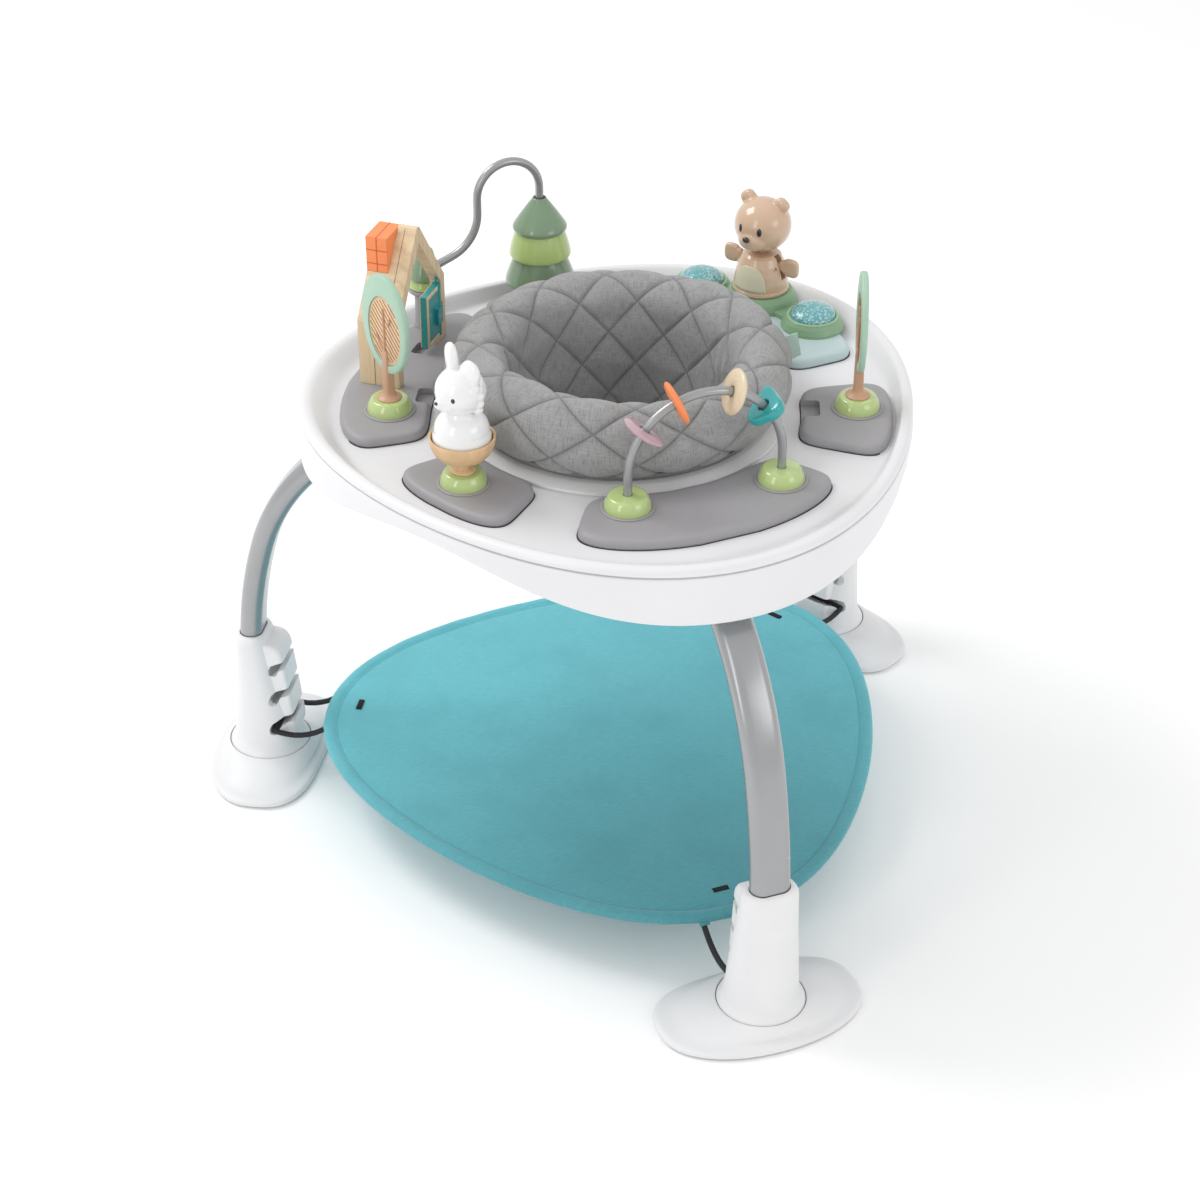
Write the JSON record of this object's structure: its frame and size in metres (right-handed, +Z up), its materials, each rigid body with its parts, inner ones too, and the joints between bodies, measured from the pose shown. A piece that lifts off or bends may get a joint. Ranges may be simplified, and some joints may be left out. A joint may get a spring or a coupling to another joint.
{
  "type": "activity jumper",
  "caption": "Three-legged baby activity jumper: lobed toy tray with toy stations, turning padded seat, and a bounce mat hung from its feet by elastic loops.",
  "frame": {"origin": "on the floor, at the middle of the part's outline in plan; the seat turns about the vertical line 79.3 mm along +Y from it", "axes": "+Z up; the front leg stands on -Y, the other two legs at 30 and 150 degrees in plan"},
  "size_m": [0.8234, 0.7394, 0.6453],
  "materials": {
    "tray_white": "satin moulded plastic",
    "ring_plastic": "satin",
    "seat_fabric": "woven heather cloth, quilted",
    "grey_steel": "satin grey paint",
    "dark_rubber": "matte",
    "foot_white": "satin moulded plastic",
    "screw_steel": "brushed",
    "mat_fabric": "padded woven cloth",
    "elastic_black": "braided elastic cord",
    "pod_grey": "fine matte",
    "pod_mint": "fine matte",
    "lime_gloss": "gloss",
    "bead_mauve": "satin",
    "orange_plastic": "satin",
    "bead_beige": "satin",
    "teal_plastic": "satin",
    "wood_look": "pale grain",
    "leaf_mint": "satin",
    "cup_tan": "satin",
    "bunny_white": "gloss",
    "pine_green": "satin",
    "hill_green": "satin",
    "bear_tan": "satin",
    "button_teal": "translucent gloss",
    "board_green": "printed board"
  },
  "bodies": {
    "root": {"tray_top": "tray_white", "tray_base": "tray_white", "leg_tube_front": "grey_steel", "leg_tube_right": "grey_steel", "leg_tube_left": "grey_steel", "leg_buttons": "dark_rubber", "foot_socket_front": "foot_white", "foot_socket_right": "foot_white", "foot_socket_left": "foot_white", "foot_plate_front": "foot_white", "foot_plate_right": "foot_white", "foot_plate_left": "foot_white", "foot_pads": "dark_rubber", "foot_screws": "screw_steel", "elastic_loops": "elastic_black", "pod_treehouse": "pod_grey", "pod_bunny": "pod_grey", "pod_arch": "pod_grey", "pod_leaf": "pod_grey", "pod_bear": "pod_mint", "pod_pine": "pod_grey", "dome_left_tree": "lime_gloss", "dome_bunny": "lime_gloss", "dome_right_tree": "lime_gloss", "dome_pine": "lime_gloss", "arch_domes": "lime_gloss", "arch_wire": "grey_steel", "house_frame": "wood_look", "house_chimney": "orange_plastic", "pine_wire": "grey_steel", "tree_stand": "pod_grey", "small_tree": "pine_green", "bear_hill": "hill_green", "bear_body": "bear_tan", "battery_cover": "pod_mint", "battery_cells": "screw_steel", "sound_board": "board_green"},
    "seat": {"seat_ring": "ring_plastic", "seat_ring_clip": "ring_plastic", "seat_pad": "seat_fabric"},
    "mat": {"bounce_mat": "mat_fabric"},
    "left_tree": {"left_tree_wood": "wood_look", "left_tree_leaf": "leaf_mint"},
    "right_tree": {"right_tree_wood": "wood_look", "right_tree_leaf": "leaf_mint"},
    "bunny_toy": {"bunny_cup": "cup_tan", "bunny": "bunny_white"},
    "bead_mauve_b": {"bead_mauve": "bead_mauve"},
    "bead_orange_b": {"bead_orange": "orange_plastic"},
    "bead_beige_b": {"bead_beige": "bead_beige"},
    "bead_teal_b": {"bead_teal": "teal_plastic"},
    "door": {"house_door": "teal_plastic"},
    "tier_top": {"pine_tier_top": "pine_green"},
    "tier_mid": {"pine_tier_mid": "lime_gloss"},
    "tier_low": {"pine_tier_low": "pine_green"},
    "head": {"bear_head": "bear_tan"},
    "arm_left": {"bear_arm_left": "bear_tan"},
    "arm_right": {"bear_arm_right": "bear_tan"},
    "press_left": {"button_left": "button_teal"},
    "press_right": {"button_right": "button_teal"}
  },
  "joints": [
    {"name": "seat_spin", "type": "hinge", "parent": "root", "child": "seat", "pos_m": [0, 0.07931, 0.47], "axis": [0, 0, 1], "continuous": true},
    {"name": "mat_bounce", "type": "slide", "parent": "root", "child": "mat", "axis": [0, 0, 1], "range_m": [-0.045, 0.02], "deforming": ["elastic_loops"]},
    {"name": "left_tree_spin", "type": "hinge", "parent": "root", "child": "left_tree", "pos_m": [-0.2163, 0.14911, 0.49], "axis": [0, 0, 1], "continuous": true},
    {"name": "right_tree_spin", "type": "hinge", "parent": "root", "child": "right_tree", "pos_m": [0.2173, -0.00989, 0.49], "axis": [0, 0, 1], "continuous": true},
    {"name": "bunny_spin", "type": "hinge", "parent": "root", "child": "bunny_toy", "pos_m": [-0.192, -0.00899, 0.49], "axis": [0, 0, 1], "continuous": true},
    {"name": "bead_teal_slide", "type": "hinge", "parent": "root", "child": "bead_teal_b", "pos_m": [0.0141, -0.10739, 0.508], "axis": [-0.0314, -0.9995, 0], "range_deg": [-26.3, 11.7]},
    {"name": "bead_beige_slide", "type": "hinge", "parent": "root", "child": "bead_beige_b", "pos_m": [0.0141, -0.10739, 0.508], "axis": [-0.0314, -0.9995, 0], "range_deg": [-7.8, 16.2]},
    {"name": "bead_orange_slide", "type": "hinge", "parent": "root", "child": "bead_orange_b", "pos_m": [0.0141, -0.10739, 0.508], "axis": [-0.0314, -0.9995, 0], "range_deg": [-18, 9.2]},
    {"name": "bead_mauve_slide", "type": "hinge", "parent": "root", "child": "bead_mauve_b", "pos_m": [0.0141, -0.10739, 0.508], "axis": [-0.0314, -0.9995, 0], "range_deg": [-11.8, 23.1]},
    {"name": "door_swing", "type": "hinge", "parent": "root", "child": "door", "pos_m": [-0.12745, 0.27069, 0.515], "axis": [0, 0, 1], "range_deg": [0, 90]},
    {"name": "tier_top_spin", "type": "hinge", "parent": "root", "child": "tier_top", "pos_m": [0.0025, 0.31911, 0.55], "axis": [0, 0, 1], "continuous": true},
    {"name": "tier_mid_spin", "type": "hinge", "parent": "root", "child": "tier_mid", "pos_m": [0.0025, 0.31911, 0.55], "axis": [0, 0, 1], "continuous": true},
    {"name": "tier_low_spin", "type": "hinge", "parent": "root", "child": "tier_low", "pos_m": [0.0025, 0.31911, 0.55], "axis": [0, 0, 1], "continuous": true},
    {"name": "bear_head_turn", "type": "hinge", "parent": "root", "child": "head", "pos_m": [0.22, 0.23631, 0.545], "axis": [0, 0, 1], "range_deg": [-40, 40]},
    {"name": "arm_left_swing", "type": "hinge", "parent": "root", "child": "arm_left", "pos_m": [0.2078, 0.2534, 0.521], "axis": [-0.8141, -0.5807, 0], "range_deg": [-25, 25]},
    {"name": "arm_right_swing", "type": "hinge", "parent": "root", "child": "arm_right", "pos_m": [0.2322, 0.21921, 0.521], "axis": [-0.8141, -0.5807, 0], "range_deg": [-25, 25]},
    {"name": "button_left_press", "type": "slide", "parent": "root", "child": "press_left", "axis": [0, 0, 1], "range_m": [-0.003, 0]},
    {"name": "button_right_press", "type": "slide", "parent": "root", "child": "press_right", "axis": [0, 0, 1], "range_m": [-0.003, 0]}
  ]
}
